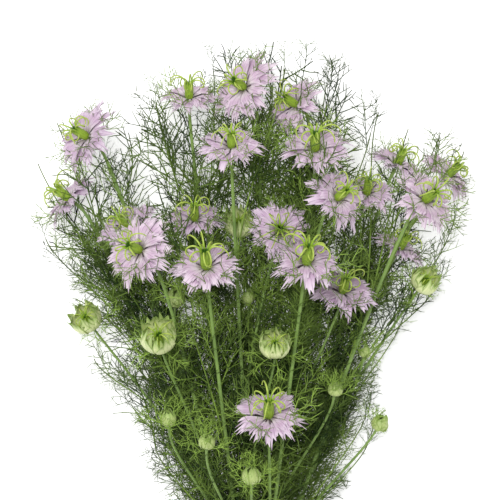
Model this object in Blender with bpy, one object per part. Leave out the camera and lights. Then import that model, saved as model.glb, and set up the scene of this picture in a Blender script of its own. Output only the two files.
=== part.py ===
"""A cut bunch of love-in-a-mist (nigella) in flower, tied with a rubber band and lying on its side.

Twelve branched stems fan out from the band. They carry twenty-one open flowers, each a whorl of sepals round a
young seed pod, five large opening buds, and small closed buds. Thread leaves grow from the stems, and a ruff of
thread bracts stands behind each flower.

Frame: metres. +Y runs from the cut ends to the flowers, +X to the right as seen from above, and +Z up from the
surface that the bunch lies on. The origin is the middle of the base of the bunch's box.
"""

import math
import random
from collections import namedtuple

import bmesh
import bpy
from mathutils import Matrix, Vector
from mathutils.bvhtree import BVHTree

# The bunch
BAND_Y = 0.070  # the band's middle, from the cut ends
BUNDLE_HEIGHT = 0.0112  # the bundle's middle above the surface, in the band
CUT_SPREAD = 1.25  # the stems spread by this much from the band to their cut ends
CUT_STEP = 0.0021  # the cut ends differ by this much from stem to stem
GAP = 0.0004  # between two pieces that touch

# Stems and leaves
MAIN_RADII = (0.0018, 0.0012)  # at the cut end, and under the flower
BRANCH_RADII = (0.0012, 0.0009)  # at the fork, and under the flower
STEM_SIDES = 5
RING_STEP = 0.030  # between a stem's rings, where it is nearly straight
NECK = 0.026  # the stem turns towards its flower over this length
NECK_END = 0.005  # the straight last part of the neck, under the flower
LEAF_STEP = 0.034  # between a stem's leaves
LEAF_LENGTHS = (0.030, 0.046)
LEAF_RADIUS = 0.00055
LEAF_SIDES = 3
BRACTS = 4
BRACT_REACH = 1.70  # a bract's tip from the flower's axis, in flower radii

# Flowers, pods and buds
SEPAL_TIPS = 7
SEPAL_NOTCH = 0.84  # the whorl's radius between two sepals, in flower radii
SEPAL_THICKNESS = 0.0009
POD_PROFILE = ((0.0020, 0.0), (0.0042, 0.0040), (0.0046, 0.0085), (0.0036, 0.0125), (0.0018, 0.0150))
POD_SIDES = 10
STYLE_STEPS = ((0.0055, 0.0040, 0.60), (0.0060, -0.0015, 0.55))  # out, up, and the end's share of the start
OPENING_PROFILE = ((0.10, 0.0), (0.34, 0.10), (0.50, 0.42), (0.40, 0.74), (0.22, 0.86), (0.14, 0.60))
CLOSED_PROFILE = ((0.16, 0.0), (0.46, 0.30), (0.42, 0.62), (0.14, 0.96))
BUD_SIDES = 8

# The band round the stems
BAND_HALF_WIDTH = 0.0134  # inside, along X
BAND_HALF_HEIGHT = 0.0098  # inside, along Z
BAND_THICKNESS = 0.0014
BAND_LENGTH = 0.0060  # along Y
BAND_SIDES = 28

# Each stem's place in the band: columns along X and rows along Z, in metres from the bundle's middle
OUTER_ROW = (-0.0075, -0.0025, 0.0025, 0.0075)
MIDDLE_ROW = (-0.0100, -0.0033, 0.0033, 0.0100)
ROW_STEP = 0.0050
SLOTS = {
    1: (OUTER_ROW[0], -ROW_STEP),
    4: (OUTER_ROW[1], -ROW_STEP),
    8: (OUTER_ROW[2], -ROW_STEP),
    11: (OUTER_ROW[3], -ROW_STEP),
    2: (MIDDLE_ROW[0], 0.0),
    6: (MIDDLE_ROW[1], 0.0),
    10: (MIDDLE_ROW[2], 0.0),
    12: (MIDDLE_ROW[3], 0.0),
    3: (OUTER_ROW[0], ROW_STEP),
    5: (OUTER_ROW[1], ROW_STEP),
    7: (OUTER_ROW[2], ROW_STEP),
    9: (OUTER_ROW[3], ROW_STEP),
}

# What the stems carry. The first head of each stem ends its main axis; each other one ends a branch that leaves
# the main axis at the given distance from the cut ends. A place is the base of the pod or bud, and faces is the
# way that it looks.
Head = namedtuple("Head", "kind number stem fork place faces width")
HEADS = (
    Head("flower", 2, 1, None, (-0.118, 0.355, 0.024), (-0.76, 0.60, 0.25), 0.039),
    Head("opening", 1, 1, 0.170, (-0.105, 0.273, 0.036), (-0.36, 0.55, 0.75), 0.021),
    Head("flower", 1, 2, None, (-0.106, 0.396, 0.052), (-0.68, 0.42, 0.60), 0.039),
    Head("flower", 6, 2, 0.185, (-0.080, 0.336, 0.054), (-0.45, 0.68, 0.58), 0.038),
    Head("closed", 8, 2, 0.140, (-0.049, 0.286, 0.046), (0.10, 0.85, 0.50), 0.014),
    Head("flower", 7, 3, None, (-0.070, 0.322, 0.090), (-0.58, 0.28, 0.76), 0.043),
    Head("opening", 2, 3, 0.165, (-0.058, 0.262, 0.086), (-0.10, 0.54, 0.83), 0.024),
    Head("closed", 1, 3, 0.130, (-0.053, 0.209, 0.070), (-0.05, 0.85, 0.50), 0.012),
    Head("flower", 3, 4, None, (-0.040, 0.421, 0.045), (0.0, 0.90, 0.43), 0.037),
    Head("flower", 8, 4, 0.190, (-0.036, 0.341, 0.072), (0.0, 0.83, 0.56), 0.036),
    Head("flower", 9, 5, None, (-0.028, 0.310, 0.098), (-0.05, 0.74, 0.67), 0.046),
    Head("closed", 2, 5, 0.125, (-0.028, 0.195, 0.084), (0.05, 0.80, 0.60), 0.012),
    Head("flower", 4, 6, None, (-0.003, 0.428, 0.060), (-0.60, 0.38, 0.70), 0.040),
    Head("opening", 4, 6, 0.200, (-0.006, 0.334, 0.048), (-0.10, 0.75, 0.65), 0.020),
    Head("closed", 5, 6, 0.165, (-0.001, 0.288, 0.043), (0.0, 0.85, 0.50), 0.010),
    Head("flower", 5, 7, None, (-0.012, 0.388, 0.090), (0.0, 0.74, 0.67), 0.038),
    Head("flower", 17, 7, 0.200, (0.019, 0.335, 0.080), (0.02, 0.14, 0.99), 0.038),
    Head("opening", 3, 7, 0.150, (0.016, 0.257, 0.086), (0.0, 0.62, 0.78), 0.020),
    Head("closed", 3, 7, 0.115, (0.001, 0.172, 0.078), (0.0, 0.80, 0.60), 0.014),
    Head("flower", 10, 8, None, (0.031, 0.417, 0.055), (-0.68, 0.42, 0.60), 0.037),
    Head("flower", 11, 8, 0.190, (0.042, 0.386, 0.084), (0.0, 0.79, 0.61), 0.045),
    Head("flower", 18, 9, None, (0.036, 0.313, 0.104), (0.10, 0.76, 0.64), 0.046),
    Head("flower", 21, 9, 0.110, (0.012, 0.215, 0.104), (0.0, 0.72, 0.69), 0.045),
    Head("flower", 12, 10, None, (0.055, 0.355, 0.098), (0.56, 0.48, 0.68), 0.040),
    Head("flower", 13, 10, 0.210, (0.076, 0.358, 0.062), (0.10, 0.83, 0.55), 0.037),
    Head("flower", 19, 10, 0.165, (0.060, 0.294, 0.070), (0.15, 0.78, 0.60), 0.042),
    Head("closed", 6, 10, 0.130, (0.055, 0.228, 0.062), (0.15, 0.88, 0.45), 0.011),
    Head("flower", 14, 11, None, (0.096, 0.377, 0.040), (0.42, 0.86, 0.30), 0.036),
    Head("flower", 20, 11, 0.190, (0.098, 0.322, 0.036), (0.48, 0.83, 0.28), 0.036),
    Head("flower", 16, 11, 0.150, (0.130, 0.371, 0.024), (0.70, 0.62, 0.35), 0.038),
    Head("flower", 15, 12, None, (0.112, 0.354, 0.084), (0.52, 0.42, 0.74), 0.042),
    Head("opening", 5, 12, 0.180, (0.112, 0.298, 0.046), (0.40, 0.62, 0.67), 0.019),
    Head("closed", 7, 12, 0.160, (0.075, 0.252, 0.040), (0.20, 0.90, 0.38), 0.009),
    Head("closed", 4, 12, 0.120, (0.083, 0.205, 0.052), (0.45, 0.78, 0.44), 0.013),
)

COLOURS = {
    "sepal": ((0.66, 0.48, 0.62), 0.6),
    "pod": ((0.24, 0.42, 0.06), 0.5),
    "bud": ((0.52, 0.66, 0.28), 0.6),
    "stem": ((0.13, 0.28, 0.06), 0.6),
    "band": ((0.62, 0.46, 0.27), 0.7),
}

UP = Vector((0.0, 0.0, 1.0))
AHEAD = Vector((0.0, 1.0, 0.0))


def clear_scene():
    for obj in list(bpy.data.objects):
        bpy.data.objects.remove(obj)


def material(name):
    colour, roughness = COLOURS[name]
    made = bpy.data.materials.get(name) or bpy.data.materials.new(name)
    made.use_nodes = True
    shader = made.node_tree.nodes["Principled BSDF"]
    shader.inputs["Base Color"].default_value = (*colour, 1.0)
    shader.inputs["Roughness"].default_value = roughness
    shader.inputs["Metallic"].default_value = 0.0
    return made


def new_object(name, bm, colour, hidden=False):
    """A scene object from a bmesh. A hidden one only feeds a Boolean."""
    bmesh.ops.recalc_face_normals(bm, faces=bm.faces)
    mesh = bpy.data.meshes.new(name)
    bm.to_mesh(mesh)
    bm.free()
    mesh.materials.append(material(colour))
    mesh.shade_smooth()
    mesh.set_sharp_from_angle(angle=math.radians(50))
    obj = bpy.data.objects.new(name, mesh)
    bpy.context.scene.collection.objects.link(obj)
    obj.hide_render = hidden
    if hidden:
        obj.display_type = "WIRE"
    return obj


def facing(place, direction):
    """The matrix that stands a shape made along +Z at a place, looking in a direction."""
    turn = Vector(direction).normalized().to_track_quat("Z", "Y")
    return Matrix.Translation(place) @ turn.to_matrix().to_4x4()


# --- Shapes -----------------------------------------------------------------------------------------------------


def add_tube(bm, points, radii, sides):
    """A closed tube through the points. A last radius of 0 ends it in a point."""
    side = (points[1] - points[0]).orthogonal().normalized()
    rings = []
    for i, (point, radius) in enumerate(zip(points, radii)):
        along = (points[min(i + 1, len(points) - 1)] - points[max(i - 1, 0)]).normalized()
        side = (side - along * side.dot(along)).normalized()
        other = along.cross(side)
        if radius == 0.0:
            rings.append([bm.verts.new(point)])
            continue
        ring = []
        for k in range(sides):
            turn = math.tau * k / sides
            ring.append(bm.verts.new(point + radius * (math.cos(turn) * side + math.sin(turn) * other)))
        rings.append(ring)
    for lower, upper in zip(rings, rings[1:]):
        for k in range(sides):
            after = (k + 1) % sides
            if len(upper) == 1:
                bm.faces.new((lower[k], lower[after], upper[0]))
            else:
                bm.faces.new((lower[k], lower[after], upper[after], upper[k]))
    bm.faces.new(reversed(rings[0]))
    if len(rings[-1]) > 1:
        bm.faces.new(rings[-1])


def add_turned(bm, profile, sides, frame):
    """A closed turned shape from (radius, height) pairs, with a flat face at each end. Returns its rings."""
    rings = []
    for radius, height in profile:
        circle = bmesh.ops.create_circle(bm, segments=sides, radius=radius)["verts"]
        bmesh.ops.translate(bm, verts=circle, vec=(0.0, 0.0, height))
        rings.append(circle)
    for lower, upper in zip(rings, rings[1:]):
        for k in range(sides):
            after = (k + 1) % sides
            bm.faces.new((lower[k], lower[after], upper[after], upper[k]))
    bm.faces.new(reversed(rings[0]))
    bm.faces.new(rings[-1])
    bmesh.ops.transform(bm, matrix=frame, verts=[v for ring in rings for v in ring])
    return rings


def add_whorl(bm, radius):
    """A flower's sepals as one thin jagged saucer with its face at height 0, looking along +Z."""
    count = 2 * SEPAL_TIPS
    flat, rim = 0.36 * radius, 0.05 * radius
    rings = []
    for inner, thickness in ((True, 0.0), (False, 0.0), (False, -SEPAL_THICKNESS), (True, -SEPAL_THICKNESS)):
        ring = []
        for k in range(count):
            turn = math.tau * k / count
            reach = flat if inner else radius * (1.0 if k % 2 else SEPAL_NOTCH)
            height = thickness + (0.0 if inner else rim)
            ring.append(bm.verts.new((reach * math.cos(turn), reach * math.sin(turn), height)))
        rings.append(ring)
    for first, second in zip(rings, rings[1:]):
        for k in range(count):
            after = (k + 1) % count
            bm.faces.new((first[k], first[after], second[after], second[k]))
    bm.faces.new(reversed(rings[0]))
    bm.faces.new(rings[-1])


def add_pod(bm):
    """A young pod with its base at height 0 and five spread styles, each drawn out of a face near the top."""
    rings = add_turned(bm, POD_PROFILE, POD_SIDES, Matrix.Identity(4))
    shoulder = set(rings[-1]) | set(rings[-2])
    faces = [f for f in bm.faces if len(f.verts) == 4 and set(f.verts) <= shoulder]
    faces.sort(key=lambda f: math.atan2(f.calc_center_median().y, f.calc_center_median().x))
    for face in faces[::2]:
        outward = face.calc_center_median()
        outward.z = 0.0
        outward.normalize()
        for out, up, share in STYLE_STEPS:
            face = bmesh.ops.extrude_discrete_faces(bm, faces=[face])["faces"][0]
            centre = face.calc_center_median()
            for vert in face.verts:
                vert.co = centre + (vert.co - centre) * share + outward * out + UP * up


# --- Places of the stems ---------------------------------------------------------------------------------------


def bezier(a, b, c, d, share):
    rest = 1.0 - share
    return a * rest**3 + b * (3 * rest * rest * share) + c * (3 * rest * share * share) + d * share**3


def neck_end(head):
    """Where the stem stops, just under the flower or bud."""
    face = Vector(head.faces).normalized()
    if head.kind == "flower":
        return Vector(head.place) - face * (SEPAL_THICKNESS + GAP)
    return Vector(head.place) - face * (GAP if head.kind == "opening" else -0.002)


def main_line(head, samples):
    """The main axis, from its cut end through the band to its head."""
    across, upward = SLOTS[head.stem]
    middle = Vector((0.0, 0.0, BUNDLE_HEIGHT))
    in_band = middle + Vector((across, BAND_Y, upward))
    cut_y = CUT_STEP * (head.stem * 5 % 4)
    cut = middle + Vector((across * CUT_SPREAD, cut_y, upward * CUT_SPREAD))
    end = neck_end(head)
    face = Vector(head.faces).normalized()
    bend = end - face * NECK_END
    reach = (end - in_band).length
    below = [bezier(cut, cut.lerp(in_band, 0.4), in_band - AHEAD * 0.02, in_band, i / 6) for i in range(6)]
    above = [
        bezier(in_band, in_band + AHEAD * 0.09 * reach, bend - face * NECK, bend, i / samples)
        for i in range(samples + 1)
    ]
    return below + above + [end]


def branch_line(head, parent, samples):
    """A branch, from its fork on the main axis to its head."""
    at = min(range(len(parent)), key=lambda i: abs(parent[i].y - head.fork))
    fork = parent[at]
    along = (parent[at + 1] - parent[at - 1]).normalized()
    end = neck_end(head)
    face = Vector(head.faces).normalized()
    bend = end - face * NECK_END
    reach = (end - fork).length
    neck = min(NECK, 0.3 * reach)
    points = [
        bezier(fork, fork + along * 0.30 * reach, bend - face * neck, bend, i / samples)
        for i in range(samples + 1)
    ]
    return points + [end], at


def grow_lines():
    """Every axis of every stem, as a smooth line of points with its head."""
    lines, forks, main_of = [], [], {}
    for head in HEADS:
        if head.fork is None:
            main_of[head.stem] = len(lines)
            line = main_line(head, 70)
            forks.append((head, None, None))
        else:
            parent = main_of[head.stem]
            line, at = branch_line(head, lines[parent], 55)
            forks.append((head, parent, at))
        lines.append(line)
    return lines, forks


def thinned(line, start, end):
    """The points that the tube needs: closer together where the line bends."""
    kept, since, turned = [0], 0.0, 0.0
    for i in range(1, len(line) - 2):
        before, after = line[i] - line[i - 1], line[i + 1] - line[i]
        since += before.length
        turned += before.angle(after, 0.0)
        if since > RING_STEP or (turned > 0.16 and since > 0.008):
            kept.append(i)
            since = turned = 0.0
    if (line[-2] - line[kept[-1]]).length < 0.006 and len(kept) > 1:
        kept.pop()
    kept += [len(line) - 2, len(line) - 1]
    radii = [start + (end - start) * i / (len(line) - 1) for i in kept]
    return [line[i] for i in kept], radii


# --- Solids that must keep clear of each other ------------------------------------------------------------------


class Thicket:
    """What has been placed so far, so that each new leaf can keep clear of it."""

    def __init__(self):
        self.solids = []

    def add(self, bm, owner=None):
        bmesh.ops.triangulate(bm, faces=bm.faces)
        self.solids.append((BVHTree.FromBMesh(bm), owner))
        bm.free()

    def is_clear(self, points, radius, stem):
        """True if a leaf through these points, a gap thicker than it is, meets nothing but its own stem."""
        if min(point.z for point in points) < radius + 0.0003:
            return False
        bm = bmesh.new()
        outer = [radius + 2 * GAP] * (len(points) - 1) + [GAP]
        add_tube(bm, points, outer, LEAF_SIDES)
        bmesh.ops.triangulate(bm, faces=bm.faces)
        tree = BVHTree.FromBMesh(bm)
        bm.free()
        return not any(owner != stem and solid.overlap(tree) for solid, owner in self.solids)


def along_line(points, distance):
    """The point at a distance along a line, and the way that the line runs there."""
    for a, b in zip(points, points[1:]):
        step = (b - a).length
        if distance <= step:
            return a + (b - a) * (distance / step), (b - a) / step
        distance -= step
    return points[-1], (points[-1] - points[-2]).normalized()


def length_of(points):
    return sum((b - a).length for a, b in zip(points, points[1:]))


def leaf_points(root, along, turn, length, rise):
    """A leaf's rib: out from the stem, then bending up along it."""
    side = along.orthogonal().normalized()
    side.rotate(Matrix.Rotation(turn, 3, along))
    middle = root + (side * math.cos(rise) + along * math.sin(rise)) * length * 0.5
    tip = middle + (side * math.cos(rise + 0.5) + along * math.sin(rise + 0.5)) * length * 0.5
    return [root, middle, tip]


def grow_leaves(bm, thicket, stem, points, fork_distance, dice):
    """The leaf ribs of one axis, in turn round it, each kept clear of everything else."""
    total = length_of(points)
    distance = fork_distance
    turn = dice.uniform(0.0, math.tau)
    while distance < total - 0.022:
        root, along = along_line(points, distance)
        for attempt in range(9):
            length = dice.uniform(*LEAF_LENGTHS) * (1.0 - 0.06 * attempt)
            rib = leaf_points(root, along, turn + 0.7 * attempt, length, dice.uniform(0.45, 0.85))
            if thicket.is_clear(rib, LEAF_RADIUS, stem):
                add_rib(bm, thicket, stem, rib)
                break
        turn += 2.4
        distance += LEAF_STEP * dice.uniform(0.85, 1.15)


def add_rib(bm, thicket, stem, rib):
    radii = [LEAF_RADIUS, LEAF_RADIUS * 0.8, 0.0]
    add_tube(bm, rib, radii, LEAF_SIDES)
    copy = bmesh.new()
    add_tube(copy, rib, radii, LEAF_SIDES)
    thicket.add(copy, stem)


def grow_bracts(bm, thicket, stem, head, dice):
    """The ruff behind a flower: ribs that pass under the whorl and turn up beyond its rim."""
    face = Vector(head.faces).normalized()
    radius = head.width / 2
    root = neck_end(head) - face * 0.0035
    side = face.orthogonal().normalized()
    start = dice.uniform(0.0, math.tau)
    for k in range(BRACTS):
        for attempt in range(7):
            way = side.copy()
            way.rotate(Matrix.Rotation(start + math.tau * k / BRACTS + 0.2 * attempt, 3, face))
            middle = root + way * radius * 1.02 - face * dice.uniform(0.001, 0.004)
            tip = root + way * radius * BRACT_REACH + face * dice.uniform(0.004, 0.016)
            if thicket.is_clear([root, middle, tip], LEAF_RADIUS, stem):
                add_rib(bm, thicket, stem, [root, middle, tip])
                break


# --- The pieces -------------------------------------------------------------------------------------------------


def make_flower(head, thicket):
    frame = facing(head.place, head.faces)
    whorl = bmesh.new()
    add_whorl(whorl, head.width / 2)
    bmesh.ops.transform(whorl, matrix=frame, verts=whorl.verts)
    thicket.add(whorl.copy())
    new_object(f"sepals_{head.number:02d}", whorl, "sepal")
    pod = bmesh.new()
    add_pod(pod)
    bmesh.ops.transform(pod, matrix=frame @ Matrix.Translation((0.0, 0.0, GAP)), verts=pod.verts)
    thicket.add(pod.copy())
    new_object(f"seed_pod_{head.number:02d}", pod, "pod")


def bud_profile(shape, width):
    return [(radius * width, height * width) for radius, height in shape]


def make_opening_bud(head, thicket):
    bud = bmesh.new()
    add_turned(bud, bud_profile(OPENING_PROFILE, head.width), BUD_SIDES, facing(head.place, head.faces))
    thicket.add(bud.copy())
    new_object(f"opening_bud_{head.number:02d}", bud, "bud")


def make_stem(stem, lines, forks, thicket, axes):
    """One stem: its main axis, with its branches, leaf ribs, bracts and closed buds joined to it."""
    growth = bmesh.new()
    trunk = None
    for number in axes:
        head, parent, _ = forks[number]
        dice = random.Random(number)
        points, radii = lines[number]
        start = BAND_Y + 0.025 if parent is None else 0.020
        if parent is None:
            trunk = (points, radii)
        else:
            add_tube(growth, points, radii, STEM_SIDES)
        if head.kind == "closed":
            frame = facing(head.place, head.faces)
            add_turned(growth, bud_profile(CLOSED_PROFILE, head.width), BUD_SIDES, frame)
        if head.kind == "flower":
            grow_bracts(growth, thicket, stem, head, dice)
        grow_leaves(growth, thicket, stem, points, start, dice)
    main = bmesh.new()
    add_tube(main, *trunk, STEM_SIDES)
    stem_object = new_object(f"stem_{stem:02d}", main, "stem")
    growth_object = new_object(f"growth_of_stem_{stem:02d}", growth, "stem", hidden=True)
    join = stem_object.modifiers.new("Branches", "BOOLEAN")
    join.operation = "UNION"
    join.solver = "EXACT"
    join.use_self = True
    join.object = growth_object


def make_band():
    """The rubber band: an oval hoop with a flat section, standing on the surface."""
    band = bmesh.new()
    rings = []
    for outward, along in ((0.0, -0.5), (BAND_THICKNESS, -0.5), (BAND_THICKNESS, 0.5), (0.0, 0.5)):
        ring = []
        for k in range(BAND_SIDES):
            turn = math.tau * (k + 0.5) / BAND_SIDES
            across = (BAND_HALF_WIDTH + outward) * math.cos(turn)
            upward = (BAND_HALF_HEIGHT + outward) * math.sin(turn)
            ring.append(band.verts.new((across, BAND_Y + along * BAND_LENGTH, BUNDLE_HEIGHT + upward)))
        rings.append(ring)
    for first, second in zip(rings, rings[1:] + rings[:1]):
        for k in range(BAND_SIDES):
            after = (k + 1) % BAND_SIDES
            band.faces.new((first[k], first[after], second[after], second[k]))
    new_object("rubber_band", band, "band")


def move_to_origin():
    """Moves the whole bunch so that the origin is the middle of its box's base."""
    bpy.context.view_layer.update()
    graph = bpy.context.evaluated_depsgraph_get()
    corners = []
    for obj in bpy.data.objects:
        if not obj.hide_render:
            mesh = obj.evaluated_get(graph).to_mesh()
            corners += [obj.matrix_world @ vert.co for vert in mesh.vertices]
    low = Vector(min(corner[k] for corner in corners) for k in range(3))
    high = Vector(max(corner[k] for corner in corners) for k in range(3))
    shift = Vector(((low.x + high.x) / 2, (low.y + high.y) / 2, low.z))
    for obj in bpy.data.objects:
        obj.location -= shift


def main():
    clear_scene()
    lines, forks = grow_lines()
    thicket = Thicket()
    for head in HEADS:
        if head.kind == "flower":
            make_flower(head, thicket)
        elif head.kind == "opening":
            make_opening_bud(head, thicket)
    tubes = []
    for number, (line, (head, parent, _)) in enumerate(zip(lines, forks)):
        points, radii = thinned(line, *(MAIN_RADII if parent is None else BRANCH_RADII))
        tubes.append((points, radii))
        solid = bmesh.new()
        add_tube(solid, points, radii, STEM_SIDES)
        thicket.add(solid, head.stem)
        if head.kind == "closed":
            solid = bmesh.new()
            add_turned(solid, bud_profile(CLOSED_PROFILE, head.width), BUD_SIDES, facing(head.place, head.faces))
            thicket.add(solid, head.stem)
    for stem in sorted(SLOTS):
        axes = [n for n, (head, _, _) in enumerate(forks) if head.stem == stem]
        make_stem(stem, tubes, forks, thicket, axes)
    make_band()
    move_to_origin()


main()
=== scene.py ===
"""A cut bunch of love-in-a-mist in flower, lying on its side on a pale floor.

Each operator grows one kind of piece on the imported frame: stems, thread leaves, ruffs of bracts, sepals,
stamens, young pods, opening buds, closed buds and the rubber band. The last one sets the stage.
"""

import math
import random
from collections import namedtuple

import bpy
import numpy as np
from bpy.props import FloatProperty, FloatVectorProperty, IntProperty, PointerProperty
from mathutils import Matrix, Vector


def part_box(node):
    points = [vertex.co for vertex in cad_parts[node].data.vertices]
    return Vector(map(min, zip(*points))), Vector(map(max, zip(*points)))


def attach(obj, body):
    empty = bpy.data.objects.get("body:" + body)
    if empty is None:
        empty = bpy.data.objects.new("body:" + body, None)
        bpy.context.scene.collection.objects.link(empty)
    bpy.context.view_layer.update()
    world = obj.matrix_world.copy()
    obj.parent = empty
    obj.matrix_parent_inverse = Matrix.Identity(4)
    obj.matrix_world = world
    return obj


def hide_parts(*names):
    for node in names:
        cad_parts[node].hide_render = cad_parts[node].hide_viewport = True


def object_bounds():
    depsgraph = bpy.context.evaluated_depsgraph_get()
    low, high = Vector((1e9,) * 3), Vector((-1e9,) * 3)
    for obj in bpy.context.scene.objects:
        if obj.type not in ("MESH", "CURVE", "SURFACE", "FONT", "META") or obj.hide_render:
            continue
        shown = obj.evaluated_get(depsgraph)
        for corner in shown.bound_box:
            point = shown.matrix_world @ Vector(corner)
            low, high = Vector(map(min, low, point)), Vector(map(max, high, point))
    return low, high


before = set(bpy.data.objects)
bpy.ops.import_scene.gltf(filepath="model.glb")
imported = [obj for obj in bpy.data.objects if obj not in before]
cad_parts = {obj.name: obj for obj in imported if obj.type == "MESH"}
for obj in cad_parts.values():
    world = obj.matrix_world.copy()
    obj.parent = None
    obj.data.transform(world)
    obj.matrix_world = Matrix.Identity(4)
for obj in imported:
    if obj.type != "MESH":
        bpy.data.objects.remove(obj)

bl_info = {
    "name": "Bunch of Love-in-a-Mist",
    "version": (1, 0, 0),
    "blender": (4, 5, 0),
    "location": "View3D > Sidebar > Bunch",
    "description": "Grows a cut bunch of love-in-a-mist on its frame of solids",
    "category": "Add Mesh",
}

CAD_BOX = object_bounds()
BAND_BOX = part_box("rubber_band")
BAND_MIDDLE = (BAND_BOX[0] + BAND_BOX[1]) / 2
FLOOR_CLEAR = 0.0004  # nothing that grows comes nearer to the floor
BOX_SHARE = 0.027  # threads may pass the frame's box by this share of each side

# The bunch's layout, in metres. Places are from the point on the floor where the middle stems are cut.
BAND_Y = 0.070
BAND_HEIGHT = 0.0112
CUT_SPREAD = 1.25  # the cut ends stand this much further apart than the stems do in the band
CUT_STEP = 0.0021  # from one cut end's level to the next
NECK = 0.026  # how far under a head its stem starts to turn the way that the head faces
NECK_END = 0.005  # and how far it runs straight at the end
HEAD_LIFTS = {"flower": -0.0013, "opening": 0.0, "closed": 0.002}  # the stem's end, past the head's place
STRAIGHT_BELOW = 0.02  # a stem runs straight for this far before the band
CUT_SHARE = 0.4  # of the way to the band: how far a stem heads straight from its cut end
MAIN_SHARE = 0.09  # of a stem's reach: how far it heads straight on from the band
FORK_SHARE = 0.30  # of a branch's reach: how far it heads on the way that its stem runs
FORK_SWELL = (1.25, 1.18, 1.08)  # how much thicker a branch's first three points are
HEAD_SWELL = 1.25  # and how much thicker a stem is under its head
TUBE_SHARE = 1.7  # of a stem's radius: its tube is a little thinner than its solid
MAIN_RADII = (0.0018, 0.0012)
BRANCH_RADII = (0.0012, 0.0009)
OUTER_ROW = (-0.0075, -0.0025, 0.0025, 0.0075)
MIDDLE_ROW = (-0.0100, -0.0033, 0.0033, 0.0100)
ROW_STEP = 0.0050
STEM_ROWS = (
    ((1, 4, 8, 11), OUTER_ROW, -ROW_STEP),
    ((2, 6, 10, 12), MIDDLE_ROW, 0.0),
    ((3, 5, 7, 9), OUTER_ROW, ROW_STEP),
)
# Each stem's place in the band: across, and up from its middle.
SLOTS = {stem: (across, up) for stems, row, up in STEM_ROWS for stem, across in zip(stems, row)}
# A flower or bud: fork is how far ahead it leaves its stem, or None where it ends the stem.
Head = namedtuple("Head", "kind number stem fork place faces width")
HEADS = (
    Head("flower", 2, 1, None, (-0.118, 0.355, 0.024), (-0.76, 0.60, 0.25), 0.039),
    Head("opening", 1, 1, 0.170, (-0.105, 0.273, 0.036), (-0.36, 0.55, 0.75), 0.021),
    Head("flower", 1, 2, None, (-0.106, 0.396, 0.052), (-0.68, 0.42, 0.60), 0.039),
    Head("flower", 6, 2, 0.185, (-0.080, 0.336, 0.054), (-0.45, 0.68, 0.58), 0.038),
    Head("closed", 8, 2, 0.140, (-0.049, 0.286, 0.046), (0.10, 0.85, 0.50), 0.014),
    Head("flower", 7, 3, None, (-0.070, 0.322, 0.090), (-0.58, 0.28, 0.76), 0.043),
    Head("opening", 2, 3, 0.165, (-0.058, 0.262, 0.086), (-0.10, 0.54, 0.83), 0.024),
    Head("closed", 1, 3, 0.130, (-0.053, 0.209, 0.070), (-0.05, 0.85, 0.50), 0.012),
    Head("flower", 3, 4, None, (-0.040, 0.421, 0.045), (0.0, 0.90, 0.43), 0.037),
    Head("flower", 8, 4, 0.190, (-0.036, 0.341, 0.072), (0.0, 0.83, 0.56), 0.036),
    Head("flower", 9, 5, None, (-0.028, 0.310, 0.098), (-0.05, 0.74, 0.67), 0.046),
    Head("closed", 2, 5, 0.125, (-0.028, 0.195, 0.084), (0.05, 0.80, 0.60), 0.012),
    Head("flower", 4, 6, None, (-0.003, 0.428, 0.060), (-0.60, 0.38, 0.70), 0.040),
    Head("opening", 4, 6, 0.200, (-0.006, 0.334, 0.048), (-0.10, 0.75, 0.65), 0.020),
    Head("closed", 5, 6, 0.165, (-0.001, 0.288, 0.043), (0.0, 0.85, 0.50), 0.010),
    Head("flower", 5, 7, None, (-0.012, 0.388, 0.090), (0.0, 0.74, 0.67), 0.038),
    Head("flower", 17, 7, 0.200, (0.019, 0.335, 0.080), (0.02, 0.14, 0.99), 0.038),
    Head("opening", 3, 7, 0.150, (0.016, 0.257, 0.086), (0.0, 0.62, 0.78), 0.020),
    Head("closed", 3, 7, 0.115, (0.001, 0.172, 0.078), (0.0, 0.80, 0.60), 0.014),
    Head("flower", 10, 8, None, (0.031, 0.417, 0.055), (-0.68, 0.42, 0.60), 0.037),
    Head("flower", 11, 8, 0.190, (0.042, 0.386, 0.084), (0.0, 0.79, 0.61), 0.045),
    Head("flower", 18, 9, None, (0.036, 0.313, 0.104), (0.10, 0.76, 0.64), 0.046),
    Head("flower", 21, 9, 0.110, (0.012, 0.215, 0.104), (0.0, 0.72, 0.69), 0.045),
    Head("flower", 12, 10, None, (0.055, 0.355, 0.098), (0.56, 0.48, 0.68), 0.040),
    Head("flower", 13, 10, 0.210, (0.076, 0.358, 0.062), (0.10, 0.83, 0.55), 0.037),
    Head("flower", 19, 10, 0.165, (0.060, 0.294, 0.070), (0.15, 0.78, 0.60), 0.042),
    Head("closed", 6, 10, 0.130, (0.055, 0.228, 0.062), (0.15, 0.88, 0.45), 0.011),
    Head("flower", 14, 11, None, (0.096, 0.377, 0.040), (0.42, 0.86, 0.30), 0.036),
    Head("flower", 20, 11, 0.190, (0.098, 0.322, 0.036), (0.48, 0.83, 0.28), 0.036),
    Head("flower", 16, 11, 0.150, (0.130, 0.371, 0.024), (0.70, 0.62, 0.35), 0.038),
    Head("flower", 15, 12, None, (0.112, 0.354, 0.084), (0.52, 0.42, 0.74), 0.042),
    Head("opening", 5, 12, 0.180, (0.112, 0.298, 0.046), (0.40, 0.62, 0.67), 0.019),
    Head("closed", 7, 12, 0.160, (0.075, 0.252, 0.040), (0.20, 0.90, 0.38), 0.009),
    Head("closed", 4, 12, 0.120, (0.083, 0.205, 0.052), (0.45, 0.78, 0.44), 0.013),
)

# How wide some flowers' sepals spread, against the others'.
SPREAD = {1: 1.12, 4: 1.14, 6: 1.06, 7: 1.12, 9: 0.95, 10: 1.06, 12: 1.06, 18: 0.95, 21: 0.93}

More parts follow.
